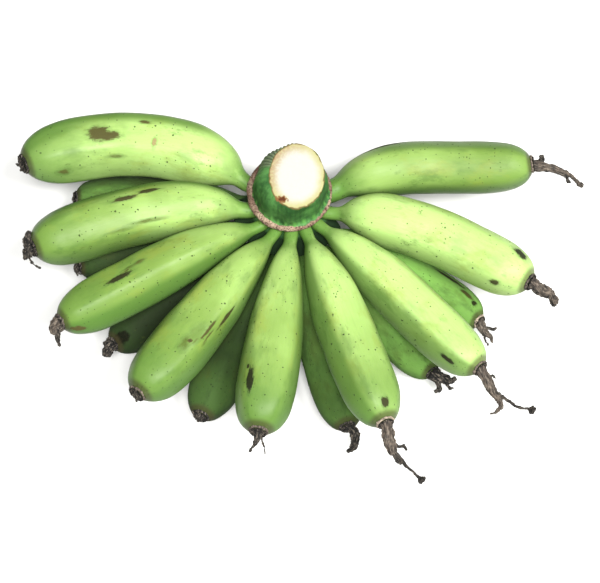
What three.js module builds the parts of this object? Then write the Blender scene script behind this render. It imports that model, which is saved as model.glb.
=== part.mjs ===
// A hand of green cooking bananas, cut from the bunch with a short length of its stalk.
// Two rows of fingers grow from one cushion on the stalk. The lower row lies on the table,
// the upper row lies over its gaps, and every finger ends in its dried flower.
// Millimetres, +Z up along the stalk. The group is centred on its own box, table at z = 0.
import * as THREE from "three";

const UP = new THREE.Vector3(0, 0, 1);
const GAP = 0.3; // clearance kept between neighbouring solids

// Stalk
const STALK_SIDES = 40;
const STALK_FLUTES = 8;
const CUSHION_RADIUS = 27; // the wall that the necks grow from
const FOOT_RADIUS = CUSHION_RADIUS + 0.6; // the foot of a neck is flat between its corners
const WEB_FACING = 256; // bearing of the middle of the hand
const WEB = 16; // how far the web of flesh between the two rows of necks reaches
// Up the stalk: height, half width, half depth, depth of the flutes, and how far the section's
// centre stands to the right and back. The wide ring is the scar of the bract, and the slanting
// shoulder over it ends at the cut. The web grows on the side of the fingers only.
const STALK_LEVELS = [
  { z: -0.4, rx: 20.5, ry: 20.5, flute: 0.3, right: 0, back: 0 },
  { z: 2, rx: 22, ry: 22, flute: 0.6, right: 0, back: 0 },
  { z: 14, rx: 23, ry: 23, flute: 0.8, right: 0, back: 0 },
  { z: 20, rx: 25.5, ry: 25.5, flute: 0.2, right: 0, back: 0 },
  { z: 24, rx: CUSHION_RADIUS, ry: CUSHION_RADIUS, flute: 0, right: 0, back: 0 },
  { z: 33.8, rx: CUSHION_RADIUS, ry: CUSHION_RADIUS, flute: 0, right: 0, back: 0 },
  { z: 35.9, rx: CUSHION_RADIUS, ry: CUSHION_RADIUS, flute: 0, right: 0, back: 0, web: WEB },
  { z: 37.3, rx: CUSHION_RADIUS, ry: CUSHION_RADIUS, flute: 0, right: 0, back: 0, web: WEB },
  { z: 37.7, rx: CUSHION_RADIUS, ry: CUSHION_RADIUS, flute: 0, right: 0, back: 0 },
  { z: 49.7, rx: CUSHION_RADIUS, ry: CUSHION_RADIUS, flute: 0, right: 0, back: 0 },
  { z: 51.6, rx: 28.4, ry: 28.6, flute: 0, right: 0, back: 0 },
  { z: 53.2, rx: 28.8, ry: 29, flute: 0, right: 0, back: 0 },
  { z: 54.4, rx: 27.6, ry: 27.8, flute: 0.2, right: 0, back: 0 },
  { z: 54.6, rx: 25.7, ry: 26, flute: 0.5, right: 0, back: 0 },
  { z: 62, rx: 25.2, ry: 25.6, flute: 0.9, right: 0.3, back: -0.2 },
  { z: 70, rx: 24.4, ry: 25.4, flute: 1, right: 1, back: -0.6 },
  { z: 76, rx: 22.4, ry: 25, flute: 0.9, right: 2.2, back: -1 },
  { z: 79.5, rx: 19.8, ry: 24.7, flute: 0.5, right: 3.9, back: -1.4 },
  { z: 80.5, rx: 18.4, ry: 24.2, flute: 0.2, right: 4.8, back: -1.4 },
];

// Fingers. Every bearing is in degrees from +X, counter-clockwise, seen from above.
// root: where the neck stands on the cushion. rootHeight: its height, if lower than its row's.
// leave and arrive: which way the finger runs at its
// neck and at its end. bearing, reach and height: where its end is. girth: greatest thickness.
// neck: thickness of the neck. shoulder: share of the length at which the finger is full.
// ridge: turn of the five ridges round the finger.
const UPPER_ROW = { rootHeight: 44, leavePitch: 16, arrivePitch: 18 };
const LOWER_ROW = { rootHeight: 29, leavePitch: -5, arrivePitch: 22 };
const UPPER_FINGERS = [
  { root: 167, rootHeight: 44.1, leave: 139, bearing: 174.8, reach: 185.5, height: 62,
    arrive: 213, girth: 45.5, neck: 12.6, shoulder: 0.3, ridge: 52 },
  { root: 205, leave: 174, bearing: 195.2, reach: 178.5, height: 64,
    arrive: 210, girth: 41.7, neck: 12, shoulder: 0.46, ridge: 0 },
  { root: 231, leave: 206, bearing: 213.4, reach: 179.5, height: 63.2,
    arrive: 214, girth: 37.2, neck: 9, shoulder: 0.56, ridge: 32 },
  { root: 251, leave: 234, bearing: 236.6, reach: 176, height: 64,
    arrive: 234, girth: 41, neck: 9, shoulder: 0.68, ridge: 55 },
  { root: 272, leave: 262, bearing: 263.5, reach: 172, height: 62,
    arrive: 262, girth: 40.7, neck: 9.8, shoulder: 0.72, ridge: 54 },
  { root: 292, leave: 290, bearing: 290, reach: 176.7, height: 65,
    arrive: 290, girth: 39.2, neck: 8.5, shoulder: 0.58, ridge: 3 },
  { root: 311.5, leave: 317, bearing: 313.4, reach: 178.5, height: 62,
    arrive: 311, girth: 37, neck: 8, shoulder: 0.53, ridge: 53 },
  { root: 332, leave: 355, bearing: 336.3, reach: 174.6, height: 61,
    arrive: 322, girth: 39.8, neck: 10, shoulder: 0.34, ridge: 40 },
  { root: 367, rootHeight: 41.2, leave: 392, bearing: 365.5, reach: 168, height: 63,
    arrive: 361, girth: 37.8, neck: 17.2, shoulder: 0.36, ridge: 29 },
];
const LOWER_FINGERS = [
  { root: 172, leave: 175, bearing: 177, reach: 156, height: 24,
    arrive: 190, girth: 33.6, neck: 8.6, shoulder: 0.6, ridge: 20 },
  { root: 218, leave: 190, bearing: 196.2, reach: 156, height: 22.8,
    arrive: 198, girth: 31.4, neck: 9, shoulder: 0.5, ridge: 16 },
  { root: 241, leave: 217, bearing: 220, reach: 159, height: 25.2,
    arrive: 222, girth: 34.3, neck: 9, shoulder: 0.55, ridge: 18 },
  { root: 261.5, leave: 248, bearing: 248.7, reach: 164, height: 27,
    arrive: 249, girth: 37, neck: 9, shoulder: 0.55, ridge: 22 },
  { root: 281, leave: 281, bearing: 283.5, reach: 164.5, height: 25.4,
    arrive: 284, girth: 35.2, neck: 9, shoulder: 0.6, ridge: 17 },
  { root: 301.5, leave: 307, bearing: 308.5, reach: 156, height: 22.8,
    arrive: 308, girth: 31.6, neck: 9, shoulder: 0.65, ridge: 19 },
  { root: 322, leave: 337, bearing: 326.9, reach: 156.5, height: 24.5,
    arrive: 318, girth: 32.6, neck: 9, shoulder: 0.58, ridge: 16 },
];
const FINGER_SIDES = 15;
const FINGER_STATIONS = [
  0, 0.04, 0.075, 0.11, 0.16, 0.24, 0.34, 0.43, 0.53, 0.63, 0.73, 0.81, 0.87, 0.915, 0.95, 0.975, 1,
];
const HANDLE_SHARE = 0.38; // how far the finger keeps its first and last direction
const RIDGE_RISE = 0.055; // how far a ridge stands out of the round, as a share of the radius
const NECK_END = 0.075; // share of the length at which the neck starts to swell
const SWELL = 2.1; // how fast it swells: 1 is a cone
const SWELL_ABOVE = 3.2; // the same for its upper side, which steps down to the neck
const DOME_START = 0.73; // share of the length at which the blunt end starts to round off
const DOME_CUT = 0.97; // the dome is cut here by the scar of the flower
const DOME_POWER = 3;

// Dried flowers: a shrivelled tube on the end of each finger, as stretches of bearing, pitch and
// length. base and end: its radius where it stands on the scar and where it stops.
const FLOWER_SIDES = 8;
const FLOWER_STATIONS = 7;
const FLOWER_THINNING = 2.2; // 1 is a cone, more is thin sooner
const UPPER_FLOWERS = [
  { base: 4.6, end: 1.3, stretches: [[208, 10, 2.5], [190, 10, 4]] },
  { base: 5.8, end: 1.4, stretches: [[212, 5, 4], [280, -15, 4], [320, -25, 5]] },
  { base: 4.8, end: 1.4, stretches: [[222, -5, 4], [264, -25, 5], [285, -30, 6]] },
  { base: 5, end: 1.8, stretches: [[236, 10, 1.5], [250, -10, 3]] },
  { base: 5, end: 1.3, stretches: [[262, 0, 4], [255, -20, 8]] },
  { base: 5, end: 1.2, stretches: [[287, -12, 19], [312, -15, 12], [321, -10, 13]] },
  { base: 5, end: 1.1, stretches: [[303, -12, 21], [328, -12, 10], [342, -8, 14]] },
  { base: 5, end: 2.2, stretches: [[331, 0, 9], [335, -10, 8], [303, -25, 9]] },
  { base: 5, end: 1.2, stretches: [[349, -3, 18], [345, -10, 10], [322, -15, 13]] },
];
const LOWER_FLOWERS = [
  { base: 4.4, end: 1.4, stretches: [[188, 12, 2.5], [200, -10, 3]] },
  { base: 4.4, end: 1.4, stretches: [[200, 12, 2.5], [270, -25, 4]] },
  { base: 4.6, end: 2.4, stretches: [[222, 12, 3], [250, -12, 3]] },
  { base: 5, end: 2.6, stretches: [[250, 15, 1.5], [250, 0, 2.5]] },
  { base: 4.6, end: 1.2, stretches: [[320, 10, 6], [292, -15, 6], [262, -20, 5], [205, -10, 5]] },
  { base: 5.4, end: 2, stretches: [[325, 8, 6], [335, -12, 8], [322, -12, 6]] },
  { base: 4.8, end: 1.4, stretches: [[284, 8, 6], [315, -15, 8], [298, -25, 5]] },
];

const PEEL = new THREE.MeshStandardMaterial({ color: 0x9cc653, roughness: 0.42, metalness: 0 });
const PEEL_BELOW = new THREE.MeshStandardMaterial({ color: 0x7d9c45, roughness: 0.45, metalness: 0 });
const STALK_SKIN = new THREE.MeshStandardMaterial({ color: 0x3f7a3c, roughness: 0.55, metalness: 0 });
const DRIED = new THREE.MeshStandardMaterial({ color: 0x4a3a30, roughness: 0.9, metalness: 0 });

const radians = THREE.MathUtils.degToRad;

// A closed skin over rings of points, each end fanned to its own centre point.
// Seen from the start, the points of a ring run counter-clockwise.
function skin(rings, startCentre, endCentre) {
  const sides = rings[0].length;
  const points = [...rings.flat(), startCentre, endCentre];
  const start = points.length - 2;
  const end = points.length - 1;
  const last = (rings.length - 1) * sides;
  const faces = [];
  for (let k = 0; k < sides; k++) {
    const next = (k + 1) % sides;
    faces.push(start, k, next);
    faces.push(end, last + next, last + k);
    for (let row = 0; row < last; row += sides) {
      faces.push(row + k, row + sides + k, row + sides + next);
      faces.push(row + k, row + sides + next, row + next);
    }
  }
  const geometry = new THREE.BufferGeometry().setFromPoints(points);
  geometry.setIndex(faces);
  geometry.computeVertexNormals();
  return geometry;
}

// The sideways and upward directions across a spine that runs along tangent.
function across(tangent) {
  const side = new THREE.Vector3().crossVectors(tangent, UP).normalize();
  const top = new THREE.Vector3().crossVectors(side, tangent);
  return { side, top };
}

// A ring of points round a spine, its radius a function of the angle.
function ringAt(centre, tangent, sides, turn, radiusAt) {
  const { side, top } = across(tangent);
  return Array.from({ length: sides }, (_, k) => {
    const angle = (2 * Math.PI * k) / sides;
    const radius = radiusAt(angle);
    return centre
      .clone()
      .addScaledVector(side, radius * Math.cos(angle + turn))
      .addScaledVector(top, radius * Math.sin(angle + turn));
  });
}

function polar(bearing, radius, height) {
  const angle = radians(bearing);
  return new THREE.Vector3(radius * Math.cos(angle), radius * Math.sin(angle), height);
}

// A unit vector with this bearing and this pitch above the level.
function heading(bearing, pitch) {
  return polar(bearing, Math.cos(radians(pitch)), Math.sin(radians(pitch)));
}

// The finger's centre line, from the cushion's wall to the scar of the flower.
function fingerSpine(finger, row) {
  const root = polar(finger.root, FOOT_RADIUS, finger.rootHeight ?? row.rootHeight);
  const end = polar(finger.bearing, finger.reach, finger.height);
  const handle = HANDLE_SHARE * root.distanceTo(end);
  const nearRoot = root.clone().addScaledVector(heading(finger.leave, row.leavePitch), handle);
  const nearEnd = end.clone().addScaledVector(heading(finger.arrive, row.arrivePitch), -handle);
  return new THREE.CubicBezierCurve3(root, nearRoot, nearEnd, end);
}

// Radius at a share of the length: a thin neck, a swelling body and a blunt end.
// above is 1 on the upper side of the finger and 0 at its flanks and below.
function fingerRadius(finger, along, above) {
  const swelling = THREE.MathUtils.clamp((along - NECK_END) / (finger.shoulder - NECK_END), 0, 1);
  const fullness = 1 - (1 - swelling) ** THREE.MathUtils.lerp(SWELL, SWELL_ABOVE, above);
  const rounding = Math.max(0, (DOME_CUT * (along - DOME_START)) / (1 - DOME_START));
  const dome = Math.sqrt(1 - rounding ** DOME_POWER);
  return (THREE.MathUtils.lerp(finger.neck, finger.girth, fullness) / 2) * dome;
}

// Moves a point out to the neck's foot, which follows the cushion's wall.
function ontoFoot(point) {
  const scale = FOOT_RADIUS / Math.hypot(point.x, point.y);
  return point.set(point.x * scale, point.y * scale, point.z);
}

function fingerGeometry(spine, finger) {
  const turn = radians(finger.ridge);
  const radiusAt = (along, angle) => {
    const above = Math.max(0, Math.sin(angle + turn));
    const radius = fingerRadius(finger, along, above);
    const rise = (RIDGE_RISE * 2 * radius) / finger.girth;
    return radius * (1 + rise * Math.cos(5 * angle));
  };
  const rings = FINGER_STATIONS.map((along) => {
    const centre = spine.getPointAt(along);
    const tangent = spine.getTangentAt(along);
    return ringAt(centre, tangent, FINGER_SIDES, turn, (angle) => radiusAt(along, angle));
  });
  const buried = rings.flat().filter((point) => Math.hypot(point.x, point.y) < FOOT_RADIUS);
  [...rings[0], ...buried].forEach(ontoFoot);
  return skin(rings, ontoFoot(spine.getPointAt(0)), spine.getPointAt(1));
}

// A shrivelled tube that starts one gap off the finger's end and thins along its stretches.
function flowerGeometry(fingerEnd, outward, flower) {
  const knots = [fingerEnd.clone().addScaledVector(outward, GAP)];
  flower.stretches.forEach(([bearing, pitch, length]) => {
    knots.push(knots.at(-1).clone().addScaledVector(heading(bearing, pitch), length));
  });
  const path = new THREE.CatmullRomCurve3(knots);
  const rings = Array.from({ length: FLOWER_STATIONS }, (_, k) => {
    const along = k / (FLOWER_STATIONS - 1);
    const radius = THREE.MathUtils.lerp(flower.end, flower.base, (1 - along) ** FLOWER_THINNING);
    const tangent = k === 0 ? outward : path.getTangentAt(along);
    return ringAt(path.getPointAt(along), tangent, FLOWER_SIDES, 0, () => radius);
  });
  return skin(rings, path.getPointAt(0), path.getPointAt(1));
}

function stalkGeometry() {
  const rings = STALK_LEVELS.map(({ z, rx, ry, flute, right, back, web = 0 }) =>
    Array.from({ length: STALK_SIDES }, (_, k) => {
      const angle = (-2 * Math.PI * k) / STALK_SIDES;
      const facing = Math.cos(angle - radians(WEB_FACING));
      const groove = flute * Math.cos(STALK_FLUTES * angle);
      const out = groove + web * THREE.MathUtils.smoothstep(facing, 0.05, 0.25);
      const x = right + (rx + out) * Math.cos(angle);
      const y = back + (ry + out) * Math.sin(angle);
      return new THREE.Vector3(x, y, z);
    }),
  );
  const centre = ({ right, back, z }) => new THREE.Vector3(right, back, z);
  return skin(rings, centre(STALK_LEVELS[0]), centre(STALK_LEVELS.at(-1)));
}

function named(name, geometry, material) {
  const mesh = new THREE.Mesh(geometry, material);
  mesh.name = name;
  return mesh;
}

function fingerRow(row, fingers, flowers, material, fingerName, flowerName) {
  const group = new THREE.Group();
  fingers.forEach((finger, i) => {
    const spine = fingerSpine(finger, row);
    const geometry = fingerGeometry(spine, finger);
    const dried = flowerGeometry(spine.getPointAt(1), spine.getTangentAt(1), flowers[i]);
    group.add(named(`${fingerName}_${i + 1}`, geometry, material));
    group.add(named(`${flowerName}_${i + 1}`, dried, DRIED));
  });
  return group;
}

const hand = new THREE.Group();
hand.add(named("stalk", stalkGeometry(), STALK_SKIN));
hand.add(fingerRow(UPPER_ROW, UPPER_FINGERS, UPPER_FLOWERS, PEEL, "finger", "flower"));
hand.add(fingerRow(LOWER_ROW, LOWER_FINGERS, LOWER_FLOWERS, PEEL_BELOW, "under", "under_flower"));

// The hand's box is centred over the origin and stands on the table.
const box = new THREE.Box3().setFromObject(hand);
const middle = box.getCenter(new THREE.Vector3());
hand.position.set(-middle.x, -middle.y, -box.min.z);

export default hand;
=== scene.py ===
import math
import random

import bmesh
import bpy
import numpy as np
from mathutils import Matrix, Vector


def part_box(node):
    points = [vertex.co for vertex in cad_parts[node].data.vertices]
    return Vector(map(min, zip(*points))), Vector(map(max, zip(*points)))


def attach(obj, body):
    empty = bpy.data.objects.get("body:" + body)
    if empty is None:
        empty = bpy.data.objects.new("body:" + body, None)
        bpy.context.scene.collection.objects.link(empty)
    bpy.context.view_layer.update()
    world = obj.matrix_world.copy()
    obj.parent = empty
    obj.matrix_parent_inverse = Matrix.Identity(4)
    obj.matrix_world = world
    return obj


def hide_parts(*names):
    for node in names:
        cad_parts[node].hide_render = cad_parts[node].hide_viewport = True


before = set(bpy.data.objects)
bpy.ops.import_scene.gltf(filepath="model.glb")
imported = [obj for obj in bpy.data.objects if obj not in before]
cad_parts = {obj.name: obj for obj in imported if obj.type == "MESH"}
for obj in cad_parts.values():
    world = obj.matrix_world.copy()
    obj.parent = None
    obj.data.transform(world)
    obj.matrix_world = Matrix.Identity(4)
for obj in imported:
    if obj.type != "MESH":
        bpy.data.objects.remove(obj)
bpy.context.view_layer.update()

# ------------------------------------------------------------------ stalk
# A short length of the bunch's stem, solid and fleshy, with a smooth dark green rind and shallow
# ribs. It was sliced through above and below this hand, so both ends show cream pith. The necks
# of all the fingers grow out of its swollen middle.

MM = 0.001
WELD = 0.01 * MM
POLE_EDGES = 7  # in a grid of quads, more edges than this meet only in the middle of an end
TRIANGLE_POLE_EDGES = 10  # the same while the grid is still made of triangles


def pick(*pieces):
    """Selects these pieces and nothing else."""
    bpy.ops.object.select_all(action="DESELECT")
    for piece in pieces:
        piece.select_set(True)
    bpy.context.view_layer.objects.active = pieces[0]


def merged_copy(node_name, piece_name):
    """A node's shape as a new piece, its loose triangles merged into a grid of quads."""
    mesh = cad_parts[node_name].data.copy()
    mesh.name = piece_name
    mesh.materials.clear()
    piece = bpy.data.objects.new(piece_name, mesh)
    bpy.context.collection.objects.link(piece)
    pick(piece)
    bpy.ops.mesh.customdata_custom_splitnormals_clear()
    bpy.ops.object.mode_set(mode="EDIT")
    bpy.ops.mesh.select_all(action="SELECT")
    bpy.ops.mesh.remove_doubles(threshold=WELD)
    grid = bmesh.from_edit_mesh(mesh)
    for face in grid.faces:
        at_pole = any(len(corner.link_edges) > TRIANGLE_POLE_EDGES for corner in face.verts)
        face.select_set(not at_pole)
    bmesh.update_edit_mesh(mesh)
    bpy.ops.mesh.tris_convert_to_quads(face_threshold=math.pi, shape_threshold=math.pi)
    bpy.ops.object.mode_set(mode="OBJECT")
    return piece


def places(mesh):
    """The mesh's points as rows of x, y, z."""
    flat = np.empty(3 * len(mesh.vertices))
    mesh.vertices.foreach_get("co", flat)
    return flat.reshape(-1, 3)


def put(mesh, points):
    """Moves the mesh's points to these places."""
    mesh.vertices.foreach_set("co", points.ravel())
    mesh.update()


def give(mesh, name, values):
    """Stores one number or one vector for each point, for the material to read."""
    values = np.asarray(values, dtype=np.float32)
    kind, key = ("FLOAT_VECTOR", "vector") if values.ndim == 2 else ("FLOAT", "value")
    mesh.attributes.new(name, kind, "POINT").data.foreach_set(key, values.ravel())


def apply_modifier(piece, kind, **settings):
    """Adds a modifier with these settings and applies it at once."""
    pick(piece)
    modifier = piece.modifiers.new(kind.lower(), kind)
    for key, value in settings.items():
        setattr(modifier, key, value)
    bpy.ops.object.modifier_apply(modifier=modifier.name)


def rings_of(mesh):
    """The grid's rings of points, from the end nearest the stalk's axis to the other end."""
    neighbours = [set() for _ in mesh.vertices]
    for edge in mesh.edges:
        a, b = edge.vertices
        neighbours[a].add(b)
        neighbours[b].add(a)
    poles = [v for v in mesh.vertices if len(neighbours[v.index]) > POLE_EDGES]
    start = min(poles, key=lambda v: (v.co - stalk_foot).length).index
    rings, seen, ring = [], {start}, {start}
    while ring:
        rings.append(sorted(ring))
        ring = {n for v in ring for n in neighbours[v]} - seen
        seen |= ring
    return rings


def material_maker(name):
    """A new material, its shader, and a function that adds a node with its inputs filled."""
    material = bpy.data.materials.new(name)
    material.use_nodes = True
    tree = material.node_tree
    shader = tree.nodes["Principled BSDF"]

    def fill(socket, value):
        if isinstance(value, bpy.types.NodeSocket):
            tree.links.new(value, socket)
        else:
            socket.default_value = value

    def node(kind, inputs, output=0, **settings):
        made = tree.nodes.new("ShaderNode" + kind)
        for key, value in settings.items():
            setattr(made, key, value)
        for key, value in inputs.items():
            fill(made.inputs[key], value)
        return made.outputs[output]

    return material, shader, node, fill


def colour(red, green, blue):
    """A colour as it is seen, 0 to 255, as the light values a shader needs."""
    def light(value):
        share = value / 255
        return share / 12.92 if share <= 0.04045 else ((share + 0.055) / 1.055) ** 2.4

    return (light(red), light(green), light(blue), 1)


def blend(node, factor, under, over):
    """Mixes two colours; at factor 1 only the one on top is left."""
    return node("Mix", {0: factor, 6: under, 7: over}, output=2, data_type="RGBA")


def between(node, value, low, high, to_low=0.0, to_high=1.0):
    """Maps a value smoothly from the range low to high onto to_low to to_high."""
    inputs = {0: value, 1: low, 2: high, 3: to_low, 4: to_high}
    return node("MapRange", inputs, interpolation_type="SMOOTHSTEP")


def times(node, a, b):
    """The product of two values."""
    return node("Math", {0: a, 1: b}, operation="MULTIPLY")


def noise(node, where, scale, detail=3.0, roughness=0.5):
    """Noise from about 0 to 1 over these coordinates."""
    inputs = {"Vector": where, "Scale": scale, "Detail": detail, "Roughness": roughness}
    return node("TexNoise", inputs)


def finish(piece, material, slot_name, *node_names):
    """Gives a piece its material and its body, and hides the nodes it stands for; the slot name is
    not used.
    """
    piece.data.materials.append(material)
    pick(piece)
    bpy.ops.object.shade_smooth()
    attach(piece, "root")
    if node_names:
        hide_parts(*node_names)


END_DEPTH = 0.1 * MM  # points this near the top or the bottom belong to that end
CUT_CREASE = 0.9
STALK_LEVELS = 3
stalk_low, stalk_high = (Vector(corner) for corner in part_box("stalk"))
stalk = merged_copy("stalk", "stalk_rind")
stalk_points = places(stalk.data)
bottom = stalk_points[stalk_points[:, 2] < stalk_low.z + END_DEPTH]
stalk_foot = Vector(bottom.mean(axis=0))
top_rim = stalk_points[stalk_points[:, 2] > stalk_high.z - END_DEPTH]
cut_centre = top_rim.mean(axis=0)
cut_half = (top_rim.max(axis=0) - top_rim.min(axis=0)) / 2

cut_ring = set(rings_of(stalk.data)[-2])
crease = stalk.data.attributes.new("crease_edge", "FLOAT", "EDGE")
for edge in stalk.data.edges:
    if set(edge.vertices) <= cut_ring:
        crease.data[edge.index].value = CUT_CREASE
apply_modifier(stalk, "SUBSURF", levels=STALK_LEVELS, render_levels=STALK_LEVELS)

# The upper stub has ribs, which stand up only on its far left, and a ring of small lumps at its
# foot. Heights are in mm over the lower slice, ways round in degrees from +X.
RIBS = 52
RIB_HEIGHT = 1.7 * MM
RIB_ROUNDNESS = 0.6
RIBBED_WAY = 122
STUB_FOOT, STUB_TOP = 55, 81.5
PLEATS = 27
PLEAT_HEIGHT = 0.4 * MM
PLEATS_FOOT, PLEATS_TOP = 54, 61
points = places(stalk.data)
around = np.arctan2(points[:, 1] - stalk_foot.y, points[:, 0] - stalk_foot.x)
height = (points[:, 2] - stalk_low.z) / MM
on_stub = np.clip((height - STUB_FOOT) / 4, 0, 1) * np.clip(STUB_TOP - height, 0, 1)
far_left = np.clip((np.cos(around - math.radians(RIBBED_WAY)) - 0.74) / 0.12, 0.12, 1)
rib_profile = np.abs(np.sin(RIBS * around / 2)) ** RIB_ROUNDNESS
rib = (rib_profile - 0.4) * RIB_HEIGHT * on_stub * far_left
at_foot = np.clip((height - PLEATS_FOOT) / 2, 0, 1) * np.clip((PLEATS_TOP - height) / 4, 0, 1)
wander = PLEATS * around + 1.7 * np.sin(3 * around)
pleat = np.cos(wander) * PLEAT_HEIGHT * at_foot
outward = np.stack([np.cos(around), np.sin(around), np.zeros_like(around)], axis=1)
put(stalk.data, points + outward * (rib + pleat)[:, None])
give(stalk.data, "ribbed", np.clip(on_stub * (far_left - 0.3) / 0.6, 0, 1))
# painted shade: the grooves between the ribs are darkened in the rind's material
give(stalk.data, "groove_shade", on_stub * far_left * (1 - rib_profile))
# painted highlight: the tops of the lumps at the stub's foot are lightened in the rind's material
give(stalk.data, "lump_highlight", at_foot * np.clip(np.cos(wander), 0, 1))

# Each point of the two slices is given how far it lies inside the rim, in mm. The rind is below
# zero. The upper slice is stained on one side and nicked at its near left edge.
SLICE_RADIUS = 20
DEEPEST = 30
UPPER_RIM, LOWER_RIM, MIDDLE = 79.6, 0.6, 40
WEB_RADIUS, WEB_TOP = 27.5, 48  # the crown's flesh between the necks starts here
STAIN_WAY, STAIN_FOOT = 150, 70
NICK_WAY, NICK_SHARE = 232, 0.9  # and how far out it is, as a share of the slice
points = places(stalk.data)
share_out = np.hypot((points[:, 0] - cut_centre[0]) / cut_half[0],
                     (points[:, 1] - cut_centre[1]) / cut_half[1])
inside_top = (1 - share_out) * SLICE_RADIUS - np.clip(UPPER_RIM - height, 0, DEEPEST)
from_foot = np.hypot(points[:, 0] - stalk_foot.x, points[:, 1] - stalk_foot.y) / MM
inside_bottom = SLICE_RADIUS - from_foot - np.clip(height - LOWER_RIM, 0, DEEPEST)
give(stalk.data, "inside_cut", np.where(height > MIDDLE, inside_top, inside_bottom))
# painted shade: this crown flesh between the necks is made nearly black-green in the rind's
# material, for the deep shade in the crevices there
give(stalk.data, "shaded_web", np.clip((from_foot - WEB_RADIUS) / 3, 0, 1) * (height < WEB_TOP))
stain_way = np.arctan2(points[:, 1] - cut_centre[1], points[:, 0] - cut_centre[0])
give(stalk.data, "stain", np.clip(np.cos(stain_way - math.radians(STAIN_WAY)), 0, 1)
     * np.clip(share_out * 3 - 1.8, 0, 1) * (height > STAIN_FOOT))
nick_way = math.radians(NICK_WAY)
nick_place = np.array([cut_centre[0] + NICK_SHARE * cut_half[0] * math.cos(nick_way),
                       cut_centre[1] + NICK_SHARE * cut_half[1] * math.sin(nick_way),
                       stalk_high.z])
give(stalk.data, "from_nick", (points - nick_place) / MM)


def rind_and_pith():
    """Waxy green rind, and where it is sliced, moist cream pith with a yellow-green margin."""
    material, shader, node, fill = material_maker("stalk_rind_and_pith")
    where = node("TexCoord", {}, output=3)
    inside = node("Attribute", {}, output=2, attribute_name="inside_cut")
    mottle = noise(node, where, 95, 4)
    grain = noise(node, where, 700, 2)
    green = blend(node, between(node, mottle, 0.35, 0.7), colour(44, 82, 42), colour(78, 126, 66))
    stretched = node("Mapping", {"Vector": where, "Scale": (1, 1, 0.12)})
    streak = between(node, noise(node, stretched, 420, 2), 0.5, 0.75)
    green = blend(node, times(node, streak, 0.35), green, colour(24, 46, 28))
    ribbed = node("Attribute", {}, output=2, attribute_name="ribbed")
    groove_shade = node("Attribute", {}, output=2, attribute_name="groove_shade")
    lump_highlight = node("Attribute", {}, output=2, attribute_name="lump_highlight")
    green = blend(node, times(node, ribbed, 0.95), green, colour(100, 112, 86))
    # painted shade in the grooves between the ribs
    green = blend(node, times(node, groove_shade, 0.9), green, colour(34, 50, 34))
    # painted highlight on the tops of the lumps
    green = blend(node, times(node, lump_highlight, 0.75), green, colour(96, 152, 74))
    uneven = between(node, noise(node, where, 180, 2), 0.3, 0.7, -0.5, 0.5)
    ragged = node("Math", {0: inside, 1: uneven}, operation="ADD")
    margin = blend(node, between(node, ragged, 0.8, 7.5), colour(156, 153, 110),
                   colour(172, 170, 162))
    dots = node("TexVoronoi", {"Vector": where, "Scale": 620.0})
    fibre_ends = between(node, dots, 0.16, 0.05)
    margin = blend(node, times(node, fibre_ends, 0.12), margin, colour(136, 120, 76))
    stain = node("Attribute", {}, output=2, attribute_name="stain")
    margin = blend(node, times(node, stain, between(node, grain, 0.35, 0.6, 0.3, 0.9)), margin,
                   colour(140, 116, 92))
    edge = between(node, ragged, -0.35, 0.25)
    edge_line = blend(node, between(node, ragged, 0.2, 1.1), colour(92, 78, 44), margin)
    skin = blend(node, edge, green, edge_line)
    nick = node("Attribute", {}, output=1, attribute_name="from_nick")
    squeezed = node("Mapping", {"Vector": nick, "Scale": (0.22, 0.36, 0.36),
                                "Rotation": (0, 0, 0.9)})
    far = node("VectorMath", {0: squeezed}, output=1, operation="LENGTH")
    torn = between(node, noise(node, where, 520, 3), 0.3, 0.7, -0.28, 0.28)
    far = node("Math", {0: far, 1: torn}, operation="ADD")
    skin = blend(node, between(node, far, 1.1, 0.72), skin, colour(112, 80, 48))
    skin = blend(node, between(node, far, 0.7, 0.4), skin, colour(74, 40, 20))
    # painted shade: the flesh between the necks is made nearly black-green
    shaded_web = node("Attribute", {}, output=2, attribute_name="shaded_web")
    skin = blend(node, shaded_web, skin, colour(22, 38, 20))
    fill(shader.inputs["Base Color"], skin)
    dull = node("Math", {0: between(node, inside, -0.4, 0.4, 0.55, 0.62),
                         1: between(node, shaded_web, 0, 1, 0, 0.5)}, operation="ADD")
    fill(shader.inputs["Roughness"], dull)
    height_map = node("Math", {0: grain, 1: mottle}, operation="ADD")
    bump = node("Bump", {"Strength": 0.25, "Distance": 0.4 * MM, "Height": height_map})
    fill(shader.inputs["Normal"], bump)
    shader.inputs["Specular IOR Level"].default_value = 0.12
    shader.inputs["Subsurface Weight"].default_value = 0.12
    shader.inputs["Subsurface Radius"].default_value = (0.6, 1.0, 0.3)
    shader.inputs["Subsurface Scale"].default_value = 2 * MM
    return material


finish(stalk, rind_and_pith(), "stalk_skin", "stalk")

# ------------------------------------------------------------------ bract scar
# Where the purple bract that covered this hand of flowers dropped off, a corky ring was left
# round the stem, just over the necks: dry, tan, thicker on the left, cracked and speckled.

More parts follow.
